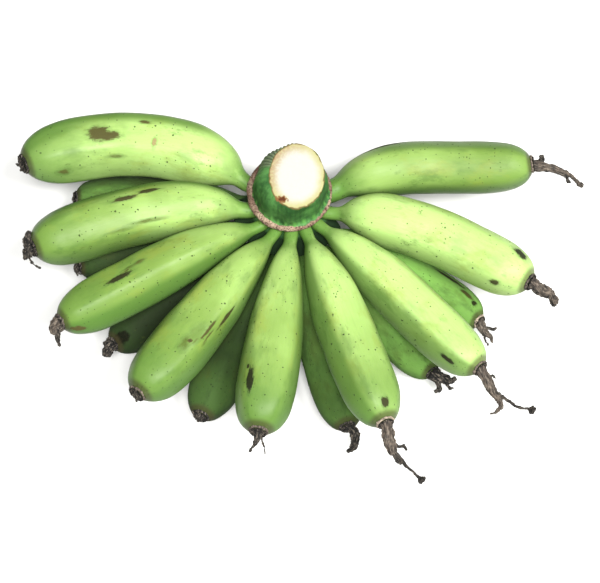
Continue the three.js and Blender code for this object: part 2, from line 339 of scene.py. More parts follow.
SCAR_LEVEL = stalk_low.z + 53 * MM
SCAR_RADIUS = 27.6 * MM
bpy.ops.object.select_all(action="DESELECT")
bpy.ops.mesh.primitive_torus_add(
    location=(stalk_foot.x, stalk_foot.y, SCAR_LEVEL), major_segments=220, minor_segments=18,
    major_radius=SCAR_RADIUS, minor_radius=2.1 * MM)
bract_scar = bpy.context.object
bract_scar.name = bract_scar.data.name = "bract_scar"
bpy.ops.object.transform_apply(location=True, rotation=True, scale=True)
points = places(bract_scar.data)
around = np.arctan2(points[:, 1] - stalk_foot.y, points[:, 0] - stalk_foot.x)
fatness = 1 + 0.3 * np.cos(around - math.radians(190)) + 0.07 * np.sin(11 * around)
level_core = np.stack([stalk_foot.x + SCAR_RADIUS * np.cos(around),
                       stalk_foot.y + SCAR_RADIUS * np.sin(around),
                       np.full_like(around, SCAR_LEVEL)], axis=1)
wavy_core = level_core.copy()
wavy_core[:, 2] += 0.35 * MM * np.sin(2 * around + 1) + 0.2 * MM * np.sin(7 * around)
put(bract_scar.data, wavy_core + (points - level_core) * fatness[:, None])


def cloud(name, size, depth):
    """A noise texture with lumps of about this size, for moving points."""
    texture = bpy.data.textures.new(name, "CLOUDS")
    texture.noise_scale = size
    texture.noise_depth = depth
    return texture


cork_lumps = cloud("cork_lumps", 1.8 * MM, 3)
apply_modifier(bract_scar, "DISPLACE", texture=cork_lumps, strength=1.3 * MM, mid_level=0.5)


def cork():
    """Dry corky scar tissue: tan, flecked with dark red-brown, and quite matt."""
    material, shader, node, fill = material_maker("scar_cork")
    where = node("TexCoord", {}, output=3)
    flecks = noise(node, where, 850, 4, 0.7)
    broad = noise(node, where, 90, 3)
    tan = blend(node, between(node, broad, 0.35, 0.65), colour(106, 80, 66), colour(152, 132, 112))
    brown = blend(node, between(node, flecks, 0.47, 0.6), tan, colour(62, 36, 28))
    fill(shader.inputs["Base Color"], brown)
    shader.inputs["Roughness"].default_value = 0.9
    bump = node("Bump", {"Strength": 0.5, "Distance": 0.4 * MM, "Height": flecks})
    fill(shader.inputs["Normal"], bump)
    return material


finish(bract_scar, cork(), "stalk_skin")

# ------------------------------------------------------------------ fingers
# Short, thick cooking bananas with a waxy green peel and five blunt ridges. Each one narrows to
# a neck that grows out of the stalk. The upper row lies over the gaps of the lower row, which
# lies on the table. The peel carries brown rub marks and fine dark specks.

ROOT_SINK = 2.6 * MM  # the neck's foot goes this far into the stalk's flesh
ROOT_FLARE = 1.22
RIDGE_BULGE = 1.015  # a ridge stands out from its ring's mean radius by more than this
RIDGE_CREASE = 0.2
FINGER_LEVELS = 3
NO_MARK = 9.0
UNROLL_RADIUS = 19 * MM  # the peel is laid out flat for its specks as if every finger had this
SHADE_EDGE = 22  # degrees over which a shaded side fades out
SHADE_FADE = 0.24  # share of the length over which its ends fade out

# Rub marks on the peel: share of the length, degrees round from the side, half length and half
# width in mm, and darkness from 0, a faint olive smear, to 1, nearly black. Below 0 it is a
# pale nick.
UPPER_MARKS = [
    [(0.676, 96, 8, 5.6, 0.3), (0.63, 102, 8, 3.2, 0.3), (0.49, 73, 4.2, 1.5, 0.2),
     (0.436, 112, 1.8, 3.4, -1), (0.608, 140, 7, 1.6, 0.1), (0.865, 160, 5.5, 2.6, 0.12)],
    [(0.565, 78, 8.5, 1.8, 0.6), (0.462, 72, 8, 1.7, 0.7), (0.49, 130, 13, 1.4, 0.1),
     (0.62, 136, 11, 1.2, 0.08)],
    [(0.705, 83, 10, 2.2, 0.85), (0.593, 71, 4, 1.8, 0.14), (0.65, 72, 6, 1.3, 0.08),
     (0.955, 160, 5, 2.2, 0.3)],
    [(0.615, 127, 9, 1.0, 0.35), (0.635, 135, 6, 0.8, 0.2), (0.52, 142, 9.5, 1.5, 0.6),
     (0.67, 139, 2.6, 1.1, 0.1), (0.69, 122, 5, 0.7, 0.15), (0.67, 116, 8, 4.2, 0.05),
     (0.73, 110, 7, 3.6, 0.05)],
    [(0.815, 61, 9.5, 2.4, 0.95), (0.75, 53, 1.6, 1.1, 0.8)],
    [(0.952, 104, 3.3, 2.5, 0.75)],
    [(0.895, 34, 5.6, 2.0, 0.9)],
    [(0.915, 126, 5.4, 4.2, 0.95), (0.884, 27, 3.6, 2.4, 0.65)],
    [(0.31, 146, 13, 2.2, 0.8)],
]
# Small clusters of specks: which upper finger, share of the length, degrees round.
CLUSTERS = [(8, 0.44, 100), (8, 0.58, 62), (6, 0.5, 66), (4, 0.72, 118), (1, 0.3, 70)]
for finger_number, cluster_share, cluster_way in CLUSTERS:
    scatter = random.Random(finger_number * cluster_way)
    for _ in range(8):
        UPPER_MARKS[finger_number - 1].append(
            (cluster_share + scatter.uniform(-0.02, 0.02), cluster_way + scatter.uniform(-9, 9),
             scatter.uniform(0.3, 0.55), scatter.uniform(0.3, 0.55), 0.6))
LOWER_MARKS = [
    [], [], [(0.97, 108, 5, 5, 1.0)], [], [], [],
    [(0.75, 136, 13, 1.6, 0.8), (0.88, 122, 6, 2.0, 0.5), (0.945, 118, 2, 2, 0.9)],
]
# How far each finger has paled from deep green, 0 to 1.
UPPER_RIPENESS = [0.7, 0.2, 0.02, 0.1, 0.3, 0.6, 0.95, 1.0, 0.15]
LOWER_RIPENESS = [0.4, 0.05, 0.0, 0.05, 0.3, 0.7, 0.8]
# Painted shade: the sides of each finger turned away from the light, and the lower fingers where
# the upper row shades them, take the darker shade green; the ninth finger's last entry darkens its
# neck. Degrees round, half width, strength, and the stretch of the length, where -1 and 2 leave an
# end open.
UPPER_PAINTED_SHADE = [
    [(22, 48, 0.85, 0.22, 2), (40, 50, 0.6, 0.75, 2)],
    [(15, 44, 0.85, 0.15, 2)],
    [(178, 44, 0.9, -1, 2)],
    [(188, 40, 0.6, -1, 2)],
    [(180, 38, 0.5, -1, 2), (0, 30, 0.3, -1, 2)],
    [(14, 46, 0.8, -1, 2)],
    [(10, 46, 0.7, -1, 2)],
    [],
    [(150, 44, 0.75, 0.25, 2), (-8, 24, 0.3, -1, 2), (90, 180, 0.95, -1, 0.13)],
]
LOWER_PAINTED_SHADE = [
    [(20, 60, 0.5, -1, 2)], [(90, 180, 0.6, -1, 0.85)], [(90, 180, 0.9, -1, 0.95)],
    [(90, 180, 0.5, -1, 0.8)], [], [], [],
]
# How much greener the last third of each finger is.
UPPER_TIPS = [0.75, 0.4, 0.55, 0.7, 0.8, 0.55, 0.12, 0.0, 0.2]
LOWER_TIPS = [0.15, 0.25, 0.25, 0.0, 0.2, 0.15, 0.1]


def finger_piece(node_name, piece_name):
    """A finger from its node: foot sunk in the stalk, ridges creased, skin subdivided.

    Each point is given its place along and across the finger as if the finger were straight.
    """
    piece = merged_copy(node_name, piece_name)
    mesh = piece.data
    rings = rings_of(mesh)
    points = places(mesh)
    centres = np.array([points[ring].mean(axis=0) for ring in rings])
    inward = np.array([stalk_foot.x, stalk_foot.y, 0]) - centres[1] * [1, 1, 0]
    inward /= np.linalg.norm(inward)
    foot = rings[0] + rings[1]
    points[foot] = centres[1] + (points[foot] - centres[1]) * ROOT_FLARE + inward * ROOT_SINK
    put(mesh, points)
    centres[0] = centres[1] = points[foot].mean(axis=0)

    lengths = np.concatenate([[0], np.cumsum(np.linalg.norm(np.diff(centres, axis=0), axis=1))])
    tangents = np.gradient(centres[1:-1], axis=0)
    tangents = np.vstack([tangents[:1], tangents, tangents[-1:]])
    tangents /= np.linalg.norm(tangents, axis=1)[:, None]
    sides = np.cross(tangents, [0, 0, 1])
    sides /= np.linalg.norm(sides, axis=1)[:, None]
    tops = np.cross(sides, tangents)
    straight = np.zeros_like(points)
    ridge = np.zeros(len(points))
    for i, ring in enumerate(rings):
        across = points[ring] - centres[i]
        straight[ring, 0] = lengths[i]
        straight[ring, 1] = across @ sides[i]
        straight[ring, 2] = across @ tops[i]
        radius = np.linalg.norm(across, axis=1)
        ridge[ring] = radius > RIDGE_BULGE * radius.mean()
    give(mesh, "straight", straight)
    give(mesh, "ridge", ridge)
    crease = mesh.attributes.new("crease_edge", "FLOAT", "EDGE")
    for edge in mesh.edges:
        a, b = edge.vertices
        runs_along = abs(straight[a, 0] - straight[b, 0]) > MM
        if ridge[a] and ridge[b] and runs_along:
            crease.data[edge.index].value = RIDGE_CREASE
    apply_modifier(piece, "SUBSURF", levels=FINGER_LEVELS, render_levels=FINGER_LEVELS)
    end = Vector(centres[-2])
    outward = Vector(tangents[-2])
    end_radius = np.linalg.norm(points[rings[-2]] - centres[-2], axis=1).mean()
    return piece, lengths[-1], end, outward, end_radius


def mark_peel(mesh, length, marks, ripeness, painted_shades, tip):
    """Gives each point how far it is from the nearest rub mark, in half sizes of that mark, how
    much painted shade it gets on the sides turned from the light, and what else the peel's
    material reads."""
    straight = np.empty(3 * len(mesh.vertices), dtype=np.float32)
    mesh.attributes["straight"].data.foreach_get("vector", straight)
    straight = straight.reshape(-1, 3)
    radius = np.hypot(straight[:, 1], straight[:, 2])
    angle = np.arctan2(straight[:, 2], straight[:, 1])
    nearest = np.full(len(radius), NO_MARK)
    tone = np.zeros(len(radius))
    for share, degrees, half_length, half_width, darkness in marks:
        turn = (angle - math.radians(degrees) + math.pi) % (2 * math.pi) - math.pi
        far = np.hypot((straight[:, 0] - share * length) / (half_length * MM),
                       turn * radius / (half_width * MM))
        tone[far < nearest] = darkness
        nearest = np.minimum(nearest, far)
    painted_shade = np.zeros(len(radius))
    along = straight[:, 0] / length
    for degrees, half_width, strength, start, stop in painted_shades:
        turn = (angle - math.radians(degrees) + math.pi) % (2 * math.pi) - math.pi
        cover = np.clip((half_width - np.degrees(np.abs(turn))) / SHADE_EDGE + 0.5, 0, 1)
        cover *= np.clip((along - start) / SHADE_FADE + 0.5, 0, 1)
        cover *= np.clip((stop - along) / SHADE_FADE + 0.5, 0, 1)
        painted_shade = np.maximum(painted_shade, strength * cover * cover * (3 - 2 * cover))
    give(mesh, "painted_shade", painted_shade)
    give(mesh, "mark", nearest)
    give(mesh, "mark_tone", tone)
    give(mesh, "upward", np.sin(angle))
    give(mesh, "share", along)
    give(mesh, "ripeness", np.full(len(radius), ripeness))
    give(mesh, "tip", np.full(len(radius), tip))
    give(mesh, "seed", np.full(len(radius), 1.7 * ripeness + length))


def peel(name, mid, pale, deep, shade, neck, olive, sheen, dullness):
    """Green banana peel: waxy, lengthwise fibres, greener at both ends, specked and rubbed.

    It goes from mid to pale as the finger ripens, with deep and olive blotches, and deep is also
    painted on the underside as shade. It has its own colours for the painted shade on the sides
    turned from the light, which also greens the tips, and for the neck.
    """
    material, shader, node, fill = material_maker(name)
    straight = node("Attribute", {}, output=1, attribute_name="straight")
    ripeness = node("Attribute", {}, output=2, attribute_name="ripeness")
    share = node("Attribute", {}, output=2, attribute_name="share")
    ridge = node("Attribute", {}, output=2, attribute_name="ridge")
    upward = node("Attribute", {}, output=2, attribute_name="upward")
    mark = node("Attribute", {}, output=2, attribute_name="mark")
    darkness = node("Attribute", {}, output=2, attribute_name="mark_tone")
    where = node("TexCoord", {}, output=3)

    broad = noise(node, where, 22, 3)
    patches = noise(node, node("Mapping", {"Vector": straight, "Scale": (0.45, 1, 1)}), 75, 4, 0.6)
    fibres = noise(node, node("Mapping", {"Vector": straight, "Scale": (0.05, 1, 1)}), 900, 3, 0.6)
    paler = node("Math", {0: ripeness, 1: between(node, broad, 0.35, 0.65, -0.15, 0.15)},
                 operation="ADD")
    paler = node("Math", {0: paler, 1: between(node, share, 0.7, 0.2, 0, 0.4)}, operation="ADD")
    skin = blend(node, between(node, paler, 0, 1), mid, pale)
    skin = blend(node, between(node, patches, 0.5, 0.78, 0, 0.35), skin, deep)
    smudge = noise(node, node("Mapping", {"Vector": straight, "Scale": (0.5, 1, 1),
                                          "Location": (0.3, 0, 0)}), 62, 6, 0.7)
    skin = blend(node, between(node, smudge, 0.56, 0.68, 0, 0.45), skin, deep)
    blotch = noise(node, node("Mapping", {"Vector": straight, "Scale": (0.6, 1, 1)}), 48, 5, 0.65)
    skin = blend(node, between(node, blotch, 0.52, 0.68, 0, 0.4), skin, olive)
    skin = blend(node, between(node, fibres, 0.45, 0.75, 0, 0.07), skin, deep)
    # painted shade: the sides turned away from the light are laid over with the shade colour
    painted_shade = node("Attribute", {}, output=2, attribute_name="painted_shade")
    skin = blend(node, painted_shade, skin, shade)
    # painted shade: the underside of each finger is darkened towards the deep green, less on riper
    # fingers
    under = times(node, between(node, upward, 0.8, -0.1),
                  between(node, ripeness, 0, 1, 0.75, 0.25))
    skin = blend(node, under, skin, deep)

    wavy = node("Math", {0: share, 1: between(node, patches, 0.3, 0.7, -0.04, 0.04)},
                operation="ADD")
    tip = node("Attribute", {}, output=2, attribute_name="tip")
    skin = blend(node, times(node, between(node, wavy, 0.6, 0.98), tip), skin, shade)
    skin = blend(node, between(node, wavy, 0.2, 0.04, 0, 0.9), skin, neck)
    worn = times(node, between(node, ridge, 0.45, 1.0), between(node, patches, 0.42, 0.62, 0, 0.3))
    skin = blend(node, worn, skin, deep)

    rough_edge = noise(node, straight, 1300, 3, 0.7)
    along, side, top = (node("SeparateXYZ", {0: straight}, output=i) for i in range(3))
    turn = node("Math", {0: side, 1: top}, operation="ARCTAN2")
    unrolled = node("CombineXYZ", {0: along, 1: times(node, turn, UNROLL_RADIUS)})
    seed = node("Attribute", {}, output=2, attribute_name="seed")
    unrolled = node("VectorMath", {0: unrolled, 1: node("CombineXYZ", {0: seed})})
    crowded = between(node, noise(node, unrolled, 45, 2), 0.42, 0.62, 0.94, 0.6)
    specks = None
    for scale, size in ((230.0, 0.075), (130.0, 0.06), (70.0, 0.045)):
        inputs = {"Vector": unrolled, "Scale": scale, "Randomness": 1.0}
        cell = node("TexVoronoi", inputs, output=1, voronoi_dimensions="2D")
        here = node("Math", {0: node("SeparateColor", {0: cell}), 1: crowded},
                    operation="GREATER_THAN")
        spread = node("TexVoronoi", inputs, voronoi_dimensions="2D")
        ragged = node("Math", {0: spread, 1: between(node, rough_edge, 0.3, 0.7, -0.02, 0.02)},
                      operation="ADD")
        dot = times(node, between(node, ragged, 1.2 * size, 0.6 * size), here)
        specks = dot if specks is None else node("Math", {0: specks, 1: dot}, operation="MAXIMUM")
    skin = blend(node, times(node, specks, 0.85), skin, colour(24, 26, 14))
    scuff = between(node, noise(node, node("Mapping", {"Vector": straight, "Scale": (0.35, 1, 1)}),
                                150, 6, 0.75), 0.61, 0.7)
    skin = blend(node, times(node, scuff, 0.45), skin, colour(66, 76, 32))

    torn = noise(node, node("Mapping", {"Vector": straight, "Scale": (0.4, 1, 1)}), 420, 5, 0.7)
    reach = node("Math", {0: mark, 1: between(node, torn, 0.25, 0.75, -0.28, 0.28)},
                 operation="ADD")
    strong = between(node, node("Math", {0: darkness}, operation="ABSOLUTE"), 0, 0.28)
    scar = between(node, reach, 1.15, between(node, strong, 0, 1, 0.15, 0.72))
    scar_tone = blend(node, darkness, colour(78, 72, 36), colour(9, 12, 5))
    scar_tone = blend(node, between(node, darkness, 0.2, 0), scar_tone, colour(66, 84, 26))
    scar_tone = blend(node, between(node, darkness, -0.2, -1), scar_tone, colour(138, 126, 84))
    mottled = blend(node, between(node, rough_edge, 0.45, 0.7, 0, 0.3), scar_tone,
                    colour(52, 46, 28))
    halo = between(node, reach, 1.7, 0.9, 0, 0.35)
    skin = blend(node, halo, skin, deep)
    cover = node("Mix", {0: strong, 2: between(node, smudge, 0.4, 0.58, 0.1, 0.85), 3: 0.95},
                 data_type="FLOAT")
    skin = blend(node, times(node, scar, cover), skin, mottled)
    singed = between(node, share, 0.972, 0.99)
    skin = blend(node, times(node, singed, 0.7), skin, colour(52, 48, 30))
    fill(shader.inputs["Base Color"], skin)

    gloss = between(node, patches, 0.3, 0.7, dullness, dullness + 0.14)
    blemish = node("Math", {0: scar, 1: specks}, operation="MAXIMUM")
    dull = node("Mix", {0: blemish, 2: gloss, 3: 0.75}, data_type="FLOAT")
    fill(shader.inputs["Roughness"], dull)
    pores = noise(node, straight, 1500, 2, 0.5)
    relief = node("Math", {0: pores, 1: fibres}, operation="ADD")
    fine = node("Bump", {"Strength": 0.12, "Distance": 0.25 * MM, "Height": relief})
    rolling = node("Bump", {"Strength": 0.35, "Distance": 1.2 * MM, "Height": patches,
                            "Normal": fine})
    scarred = node("Bump", {"Strength": 0.5, "Distance": 0.3 * MM, "Height": blemish,
                            "Normal": rolling})
    fill(shader.inputs["Normal"], scarred)
    shader.inputs["Specular IOR Level"].default_value = sheen
    shader.inputs["Subsurface Weight"].default_value = 0.08
    shader.inputs["Subsurface Radius"].default_value = (0.6, 1.0, 0.25)
    shader.inputs["Subsurface Scale"].default_value = 2 * MM
    return material


upper_peel = peel(
    "upper_peel", mid=colour(104, 131, 61), pale=colour(154, 184, 107), deep=colour(58, 86, 38),
    shade=colour(72, 104, 43), neck=colour(76, 112, 46), olive=colour(124, 134, 52),
    sheen=0.15, dullness=0.36)
# painted shade: the lower fingers get a much darker copy of the peel, for the shade they lie in
# under the upper row
lower_peel_painted_shade = peel(
    "lower_peel_painted_shade", mid=colour(46, 65, 32), pale=colour(100, 140, 66), deep=colour(30, 44, 22),
    shade=colour(28, 37, 21), neck=colour(44, 66, 32), olive=colour(62, 70, 30),
    sheen=0.05, dullness=0.62)
peel_waves = cloud("peel_waves", 26 * MM, 1)
finger_ends = {}
for row, node_row, material, row_marks, row_ripeness, row_painted_shade, row_tips in (
        ("upper", "finger", upper_peel, UPPER_MARKS, UPPER_RIPENESS, UPPER_PAINTED_SHADE, UPPER_TIPS),
        ("lower", "under", lower_peel_painted_shade, LOWER_MARKS, LOWER_RIPENESS, LOWER_PAINTED_SHADE, LOWER_TIPS)):
    for number, (marks, ripeness, painted_shades, tip) in enumerate(
            zip(row_marks, row_ripeness, row_painted_shade, row_tips), start=1):
        node_name = f"{node_row}_{number}"
        piece_name = f"{row}_finger_{number}"
        finger, length, end, outward, end_radius = finger_piece(node_name, piece_name)
        apply_modifier(finger, "DISPLACE", texture=peel_waves, strength=1.1 * MM, mid_level=0.5)
        mark_peel(finger.data, length, marks, ripeness, painted_shades, tip)
        finish(finger, material, "peel", node_name)
        finger_ends[node_name] = (end, outward, end_radius)

# ------------------------------------------------------------------ dried flowers
# Each finger keeps what is left of its flower: a corky ring where the petals stood, a dark
# folded pit inside it, the shrivelled tube of the petals, and the thin style with its knob.
# They are dry, fibrous and brittle, grey-brown to nearly black.

STRAND_SWELL = 1.25  # the folds take back this much of a strand's width
THIN_STRAND = 2  # mm; strands up to this radius have fewer and shallower folds
STRAND_FLATNESS = 0.82
STRAND_TWIST = 0.12  # radians from one knot to the next
STRAND_SWAY = 0.08  # share of a stretch by which its middle may stray
FIRST_CHARRED, LATER_CHARRED, PIT_CHARRED = 0.45, 0.8, 0.92
RING_SHARE = 0.93  # of the finger's end
RING_POINTS = 40

# How charred the ring and the first strand are, from 0, tan, to 1, black, and the strands. A
# strand is its first radius in mm, then stretches of bearing and pitch in degrees, length in mm
# and end radius in mm.
UPPER_FLOWERS = [
    dict(ring=0.95, dry=1.0, strands=[
        (3.4, (208, 10, 2, 2.4), (190, 10, 2, 1.2), (165, 20, 2, 0.6)),
        (2.2, (225, -5, 2, 1.8), (250, -15, 3, 0.8))]),
    dict(ring=1.0, dry=0.95, strands=[
        (6.6, (210, 5, 3, 5.2), (225, 0, 3, 3.2), (265, -15, 5, 1.7)),
        (5.4, (125, 10, 6, 4.2), (92, 10, 6, 2.0)),
        (5.0, (240, 0, 4, 3.6), (270, -15, 5, 2.0)),
        (1.1, (245, -12, 7, 0.9), (300, -20, 6, 0.6), (330, -15, 4, 0.5),
         (340, 0, 1.5, 0.9))]),
    dict(ring=0.5, strands=[
        (5.6, (218, 0, 3, 5.2), (235, -10, 3, 4.4), (265, -28, 4, 2.4)),
        (2.4, (240, -10, 6, 2.2), (275, -28, 6, 1.8), (290, -30, 5, 1.0))]),
    dict(ring=0.35, dry=0.8, strands=[
        (3.0, (236, 10, 1.5, 2.4), (250, -10, 2, 1.6)),
        (1.0, (255, 0, 3, 0.9), (285, -25, 3, 0.7))]),
    dict(ring=0.4, dry=0.8, strands=[
        (3.2, (262, 0, 4, 2.6), (250, -20, 5, 1.8), (235, -20, 3, 0.9)),
        (0.9, (255, -10, 7, 0.7), (235, -20, 5, 0.5), (250, -10, 1.6, 1.3),
         (250, -10, 1.2, 1.0)),
        (0.7, (285, -5, 6, 0.6), (290, -25, 6, 0.4), (275, -25, 4, 0.3))]),
    dict(ring=0.12, strands=[
        (4.6, (287, -10, 6, 4.2), (284, -12, 13, 3.4), (300, -15, 2, 2.2)),
        (1.8, (287, -12, 19, 1.7), (312, -15, 12, 1.3), (321, -10, 10, 1.0),
         (321, -8, 2.8, 3.2), (321, -8, 1.8, 2.4)),
        (1.3, (290, -12, 14, 1.2), (330, 0, 5, 1.1), (10, 15, 3, 1.3),
         (300, 0, 3, 0.6)),
        (2.2, (288, -12, 20, 2.0), (300, -18, 5, 2.2), (320, -15, 4, 1.2))]),
    dict(ring=0.35, strands=[
        (4.6, (303, -10, 8, 3.8), (296, -14, 9, 3.4), (310, -12, 7, 2.6),
         (285, -12, 5, 2.0), (225, -6, 5, 1.4), (190, -4, 4, 0.8)),
        (1.3, (303, -12, 21, 1.3), (328, -12, 10, 1.0), (342, -8, 12, 0.9),
         (342, -4, 2.6, 3.4), (342, -4, 1.6, 2.8)),
        (1.1, (310, -10, 8, 1.1), (20, 15, 4, 0.9), (300, 0, 3, 0.5))]),
    dict(ring=0.5, strands=[
        (4.4, (331, 0, 5, 3.6), (318, -5, 5, 4.8), (348, -8, 6, 2.6),
         (300, -24, 6, 3.4), (320, -25, 3, 1.2)),
        (3.0, (312, -8, 9, 3.0), (335, -14, 6, 1.6), (10, -10, 5, 1.0)),
        (2.2, (330, -10, 16, 2.0), (290, -25, 7, 1.8), (330, -15, 2.5, 0.8))]),
    dict(ring=0.3, strands=[
        (4.2, (349, -3, 8, 3.6), (352, -5, 8, 3.0), (345, -10, 10, 1.8),
         (322, -15, 11, 1.2), (318, -12, 2, 2.2), (322, -10, 1.4, 1.8)),
        (1.8, (355, 0, 6, 1.9), (75, 18, 5, 2.2), (100, 15, 3, 1.2)),
        (1.6, (349, -5, 17, 1.6), (340, -12, 9, 1.5), (285, -25, 4, 1.6),
         (0, 0, 2, 0.8)),
        (1.0, (348, -8, 26, 0.9), (324, -14, 9, 0.8), (275, -15, 3, 0.7))]),
]
LOWER_FLOWERS = [
    dict(ring=0.85, dry=0.85, strands=[
        (2.0, (188, 12, 1.5, 1.4), (205, -10, 2, 0.6))]),
    dict(ring=0.9, dry=0.85, strands=[
        (3.4, (200, 12, 2.5, 2.4), (265, -25, 4, 1.1), (300, -20, 3, 0.6)),
        (0.8, (250, -15, 5, 0.6), (330, -10, 3, 0.5), (60, 20, 2, 0.4))]),
    dict(ring=0.95, dry=0.85, strands=[
        (6.0, (222, 12, 3, 5.6), (245, -8, 4, 4.6), (265, -12, 4, 2.6)),
        (3.8, (195, 8, 4, 3.2), (180, 8, 3, 1.2))]),
    dict(ring=0.85, dry=0.85, strands=[
        (3.6, (250, 15, 1.5, 3.0), (250, 0, 2, 2.0), (225, -10, 2, 0.8))]),
    dict(ring=0.8, dry=0.85, strands=[
        (4.4, (320, 10, 5, 3.4), (292, -15, 6, 2.8), (262, -20, 6, 2.1),
         (205, -10, 6, 1.4)),
        (1.4, (320, 8, 5, 1.4), (275, -18, 8, 1.3), (230, -15, 4, 0.8))]),
    dict(ring=0.85, dry=0.85, strands=[
        (5.4, (325, 8, 5, 4.6), (335, -8, 6, 3.8), (345, -12, 4, 2.2)),
        (2.8, (310, 0, 7, 2.4), (285, -20, 6, 2.2), (200, -5, 4, 1.2)),
        (2.0, (330, 0, 9, 1.9), (350, -10, 6, 2.0), (40, 12, 4, 1.6)),
        (1.4, (330, -8, 12, 1.4), (300, -20, 5, 1.6), (10, 0, 3, 0.8))]),
    dict(ring=0.15, strands=[
        (4.4, (284, 8, 5, 3.6), (305, -10, 5, 2.8), (325, -15, 5, 1.8),
         (290, -25, 4, 0.9)),
        (1.4, (300, 0, 7, 1.3), (350, -5, 6, 1.2), (30, 10, 3, 0.8)),
        (1.2, (290, 0, 7, 1.1), (285, -28, 8, 0.9), (310, -25, 4, 0.5))]),
]


def heading(bearing, pitch):
    """A unit vector with this compass bearing from +X and this pitch above level."""
    turn, tilt = math.radians(bearing), math.radians(pitch)
    return Vector((math.cos(turn) * math.cos(tilt), math.sin(turn) * math.cos(tilt),
                   math.sin(tilt)))


def folded_outline(folds, depth):
    """A closed curve with folds in it, drawn round each strand in turn."""
    outline = bpy.data.curves.new("folded_outline", "CURVE")
    spline = outline.splines.new("NURBS")
    count = 2 * folds
    spline.points.add(count - 1)
    for i, point in enumerate(spline.points):
        turn = 2 * math.pi * i / count
        radius = 1 if i % 2 else 1 - depth
        point.co = (radius * math.cos(turn), STRAND_FLATNESS * radius * math.sin(turn), 0, 1)
    spline.use_cyclic_u = True
    outline.resolution_u = 2
    holder = bpy.data.objects.new("folded_outline", outline)
    bpy.context.collection.objects.link(holder)
    return holder


def strand_mesh(start, strand, outline, rng):
    """One shrivelled strand as a mesh: a curve drawn along its stretches and folded round."""
    curve = bpy.data.curves.new("strand", "CURVE")
    curve.dimensions = "3D"
    curve.bevel_mode = "OBJECT"
    curve.bevel_object = outline
    curve.use_fill_caps = True
    curve.resolution_u = 5
    knots = [(start, strand[0])]
    for bearing, pitch, length, radius in strand[1:]:
        from_place, from_radius = knots[-1]
        way = heading(bearing, pitch) * length * MM
        sway = Vector([rng.uniform(-STRAND_SWAY, STRAND_SWAY) * length * MM for _ in range(3)])
        middle = from_place + way * 0.5 + sway
        knots.append((middle, (from_radius + radius) / 2 * rng.uniform(0.7, 1.25)))
        knots.append((from_place + way, radius))
    spline = curve.splines.new("NURBS")
    spline.points.add(len(knots) - 1)
    for i, (point, (place, radius)) in enumerate(zip(spline.points, knots)):
        point.co = (*place, 1)
        point.radius = STRAND_SWELL * radius * MM
        point.tilt = STRAND_TWIST * i
    spline.use_endpoint_u = True
    spline.order_u = 3
    holder = bpy.data.objects.new("strand", curve)
    bpy.context.collection.objects.link(holder)
    pick(holder)
    bpy.ops.object.convert(target="MESH")
    strand_piece = bpy.context.object
    sides = len(outline.data.splines[0].points) * outline.data.resolution_u
    index = np.arange(len(strand_piece.data.vertices))
    give(strand_piece.data, "grain", np.stack(
        [4 * np.cos(2 * math.pi * index / sides), index // sides * 0.8,
         4 * np.sin(2 * math.pi * index / sides)], axis=1))
    return strand_piece


def scar_ring(end, outward, radius):
    """The corky ring on the finger's end, and the folded pit inside it."""
    turned = outward.to_track_quat("Z", "Y").to_euler()
    bpy.ops.object.select_all(action="DESELECT")
    bpy.ops.mesh.primitive_torus_add(
        location=end - outward * 0.1 * MM, rotation=turned, major_segments=RING_POINTS,
        minor_segments=10, major_radius=radius * RING_SHARE, minor_radius=0.85 * MM)
    ring = bpy.context.object
    bpy.ops.object.select_all(action="DESELECT")
    bpy.ops.mesh.primitive_circle_add(
        vertices=RING_POINTS, radius=radius * RING_SHARE, fill_type="NGON",
        location=end + outward * 1.5 * MM, rotation=turned)
    pit = bpy.context.object
    bpy.ops.object.mode_set(mode="EDIT")
    # the pit's steps: how far in, as a share of the radius, and how far out of the end in mm
    for thickness, depth in ((0.12, -0.5), (0.22, -0.2), (0.22, 0.55), (0.2, 0.4)):
        bpy.ops.mesh.select_all(action="DESELECT")
        face_mesh = bmesh.from_edit_mesh(pit.data)
        middle = max(face_mesh.faces, key=lambda face: len(face.verts))
        middle.select_set(True)
        bmesh.update_edit_mesh(pit.data)
        bpy.ops.mesh.inset(thickness=thickness * radius, depth=depth * MM)
    bpy.ops.object.mode_set(mode="OBJECT")
    pick(pit)
    bpy.ops.object.transform_apply(location=True, rotation=True, scale=True)
    points = places(pit.data)
    from_end = points - np.array(end)
    axis = np.array(outward)
    flat = from_end - np.outer(from_end @ axis, axis)
    first = np.array(outward.orthogonal().normalized())
    second = np.cross(axis, first)
    turn = np.arctan2(flat @ second, flat @ first)
    fold = np.sin(9 * turn + 1.3 * np.sin(2 * turn)) * 0.45 * MM
    fold *= np.clip(1.1 - np.linalg.norm(flat, axis=1) / radius, 0, 1) * 2
    put(pit.data, points + np.outer(fold, axis))
    return ring, pit


